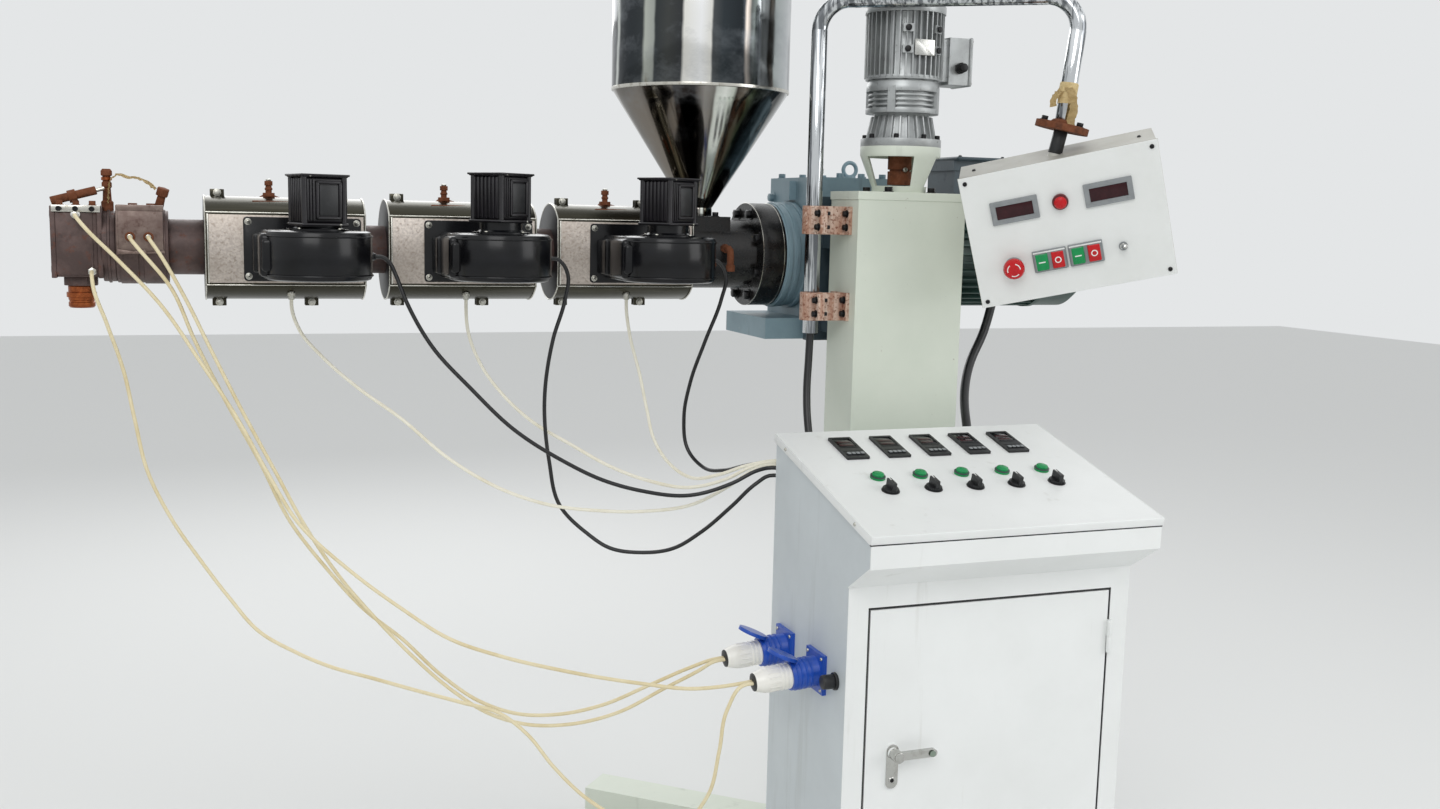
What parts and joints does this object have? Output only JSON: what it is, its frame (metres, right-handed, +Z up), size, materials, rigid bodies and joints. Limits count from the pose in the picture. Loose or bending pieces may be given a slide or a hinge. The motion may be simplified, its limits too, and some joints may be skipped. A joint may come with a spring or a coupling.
{
  "type": "plastic extruder",
  "caption": "Small plastic extruder on a motor-driven lifting column, with hopper, blown heater zones, die, control cabinet with sloping desk and a hanging control box.",
  "frame": {"origin": "on the floor under the column, at the centre of the base cross", "axes": "+X along the barrel from the die to the main motor, +Y away from the front of the cabinet, +Z up"},
  "size_m": [2.243, 1.1151, 2.124],
  "materials": {
    "pale_green_paint": "semi-gloss machine paint, scuffed and stained",
    "bright_steel": "ground, lightly oiled",
    "rusty_steel": "dry, rusted",
    "pale_gear_paint": "semi-gloss, dusty",
    "silver_paint": "silver machine paint",
    "rusty_clamp_paint": "pale paint with rust runs",
    "polished_tube": "polished",
    "grey_box_paint": "semi-gloss",
    "white_panel": "satin",
    "grey_bezel_plastic": "moulded",
    "red_lens": "clear moulded lens",
    "red_button_plastic": "moulded",
    "switch_plastic": "moulded",
    "grey_cabinet_paint": "semi-gloss, dusty",
    "white_cabinet_paint": "semi-gloss, stained",
    "plated_steel": "nickel plated",
    "instrument_plastic": "moulded",
    "green_lens": "clear moulded lens",
    "blue_plastic": "moulded",
    "ivory_plastic": "moulded",
    "slate_paint": "semi-gloss",
    "heated_steel": "heat tinted",
    "brushed_cover_steel": "brushed, oil filmed",
    "black_enamel": "gloss enamel",
    "oily_black_steel": "oil blacked",
    "polished_hopper_steel": "mirror polished stainless",
    "blue_grey_paint": "semi-gloss",
    "dark_green_paint": "semi-gloss",
    "mica_band": "heat stained",
    "heat_stained_steel": "rusted and heat stained",
    "nozzle_bronze": "heat stained",
    "black_knob_plastic": "moulded",
    "white_sheath": "braided glass sheath",
    "black_sheath": "smooth sheath"
  },
  "bodies": {
    "frame": {"base_cross": "pale_green_paint", "column": "pale_green_paint", "lift_screw": "bright_steel", "guide_rails": "bright_steel", "lift_lantern": "pale_green_paint", "lift_coupling": "rusty_steel", "lift_gear_unit": "pale_gear_paint", "lift_motor": "silver_paint", "pole_clamps": "rusty_clamp_paint", "cabinet_sides": "grey_cabinet_paint", "cabinet_back": "grey_cabinet_paint", "door_frame": "white_cabinet_paint", "desk_lid": "white_cabinet_paint", "temperature_controllers": "instrument_plastic", "pilot_lamps": "green_lens", "side_sockets": "blue_plastic", "heater_plug_1": "ivory_plastic", "heater_plug_2": "ivory_plastic", "die_top_cable": "white_sheath", "band_cable_1": "white_sheath", "band_cable_2": "white_sheath", "die_low_cable": "white_sheath", "zone_cable_1": "white_sheath", "zone_cable_2": "white_sheath", "zone_cable_3": "white_sheath", "blower_cable_1": "black_sheath", "blower_cable_2": "black_sheath", "blower_cable_3": "black_sheath", "motor_conduit": "black_sheath", "arm_conduit": "black_sheath"},
    "extruder": {"lift_carriage": "slate_paint", "barrel": "heated_steel", "heater_covers": "brushed_cover_steel", "blower_volutes": "black_enamel", "blower_motors": "black_enamel", "thermocouples": "rusty_steel", "feed_block": "oily_black_steel", "hopper": "polished_hopper_steel", "hopper_lid": "polished_hopper_steel", "gearbox": "blue_grey_paint", "main_motor": "dark_green_paint", "motor_terminal_box": "slate_paint", "band_heater": "mica_band", "die_block": "heat_stained_steel", "die_nozzle": "nozzle_bronze"},
    "arm": {"arm_tube": "polished_tube", "arm_disc": "rusty_steel"},
    "control_station": {"control_box": "grey_box_paint", "control_panel": "white_panel", "digital_meters": "grey_bezel_plastic", "box_pilot_lamp": "red_lens", "emergency_stop": "red_button_plastic", "box_switches": "switch_plastic"},
    "door": {"cabinet_door": "white_cabinet_paint"},
    "lever": {"door_lever": "plated_steel"},
    "knob_1": {"selector_knob_1": "black_knob_plastic"},
    "knob_2": {"selector_knob_2": "black_knob_plastic"},
    "knob_3": {"selector_knob_3": "black_knob_plastic"},
    "knob_4": {"selector_knob_4": "black_knob_plastic"},
    "knob_5": {"selector_knob_5": "black_knob_plastic"}
  },
  "joints": [
    {"name": "lift", "type": "slide", "parent": "frame", "child": "extruder", "axis": [0, 0, 1], "range_m": [-0.2, 0.03], "deforming": ["die_top_cable", "band_cable_1", "band_cable_2", "die_low_cable", "zone_cable_1", "zone_cable_2", "zone_cable_3", "blower_cable_1", "blower_cable_2", "blower_cable_3", "motor_conduit"]},
    {"name": "arm_swing", "type": "hinge", "parent": "frame", "child": "arm", "pos_m": [-0.195, -0.045, 1.4], "axis": [0, 0, 1], "range_deg": [-100, 0]},
    {"name": "box_swivel", "type": "hinge", "parent": "arm", "child": "control_station", "pos_m": [0.20009, -0.33735, 1.67934], "axis": [0.1671, -0.1237, 0.9781], "range_deg": [-60, 60]},
    {"name": "door_hinge", "type": "hinge", "parent": "frame", "child": "door", "pos_m": [0.2315, -0.5395, 0.4675], "axis": [0, 0, 1], "range_deg": [0, 110]},
    {"name": "lever_turn", "type": "hinge", "parent": "door", "child": "lever", "pos_m": [-0.228, -0.556, 0.52], "axis": [0, 1, 0], "range_deg": [0, 90]},
    {"name": "selector_1", "type": "hinge", "parent": "frame", "child": "knob_1", "pos_m": [-0.21, -0.456, 0.99022], "axis": [0, -0.2538, 0.9673], "range_deg": [-45, 45]},
    {"name": "selector_2", "type": "hinge", "parent": "frame", "child": "knob_2", "pos_m": [-0.12, -0.456, 0.99022], "axis": [0, -0.2538, 0.9673], "range_deg": [-45, 45]},
    {"name": "selector_3", "type": "hinge", "parent": "frame", "child": "knob_3", "pos_m": [-0.03, -0.456, 0.99022], "axis": [0, -0.2538, 0.9673], "range_deg": [-45, 45]},
    {"name": "selector_4", "type": "hinge", "parent": "frame", "child": "knob_4", "pos_m": [0.06, -0.456, 0.99022], "axis": [0, -0.2538, 0.9673], "range_deg": [-45, 45]},
    {"name": "selector_5", "type": "hinge", "parent": "frame", "child": "knob_5", "pos_m": [0.15, -0.456, 0.99022], "axis": [0, -0.2538, 0.9673], "range_deg": [-45, 45]}
  ]
}
